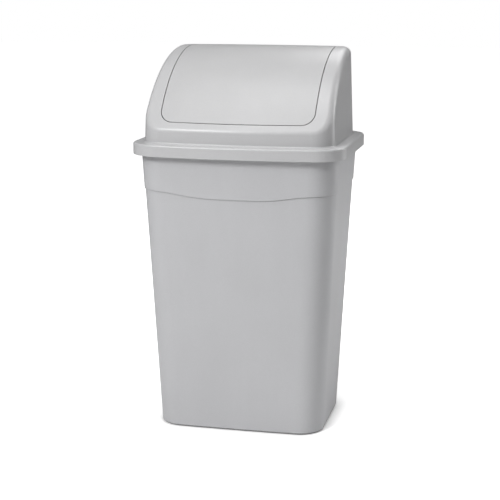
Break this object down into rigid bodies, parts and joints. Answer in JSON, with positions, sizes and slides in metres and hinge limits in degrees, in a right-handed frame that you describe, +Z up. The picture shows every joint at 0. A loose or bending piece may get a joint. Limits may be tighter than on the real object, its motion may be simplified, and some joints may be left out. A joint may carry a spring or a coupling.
{
  "type": "swing-lid trash can",
  "caption": "Tapered rectangular kitchen bin with a lift-off curved hood whose top panel swings both ways on side pins.",
  "frame": {"origin": "on the floor under the middle of the bin", "axes": "+Z up, front faces -Y, +X to the right of a person facing the front"},
  "size_m": [0.3708, 0.3182, 0.66],
  "materials": {
    "bucket_plastic": "satin moulded polypropylene",
    "hood_plastic": "satin moulded polypropylene",
    "flap_plastic": "satin moulded polypropylene",
    "pin_plastic": "smooth moulded plastic"
  },
  "bodies": {
    "bin": {"bin_body": "bucket_plastic"},
    "hood": {"lid_hood": "hood_plastic"},
    "flap": {"swing_flap": "flap_plastic", "pivot_pin_left": "pin_plastic", "pivot_pin_right": "pin_plastic"}
  },
  "joints": [
    {"name": "hood_lift", "type": "slide", "parent": "bin", "child": "hood", "axis": [0, 0, 1], "range_m": [0, 0.12]},
    {"name": "flap_swing", "type": "hinge", "parent": "hood", "child": "flap", "pos_m": [0, -0.0229, 0.6235], "axis": [1, 0, 0], "range_deg": [-80, 80]}
  ]
}
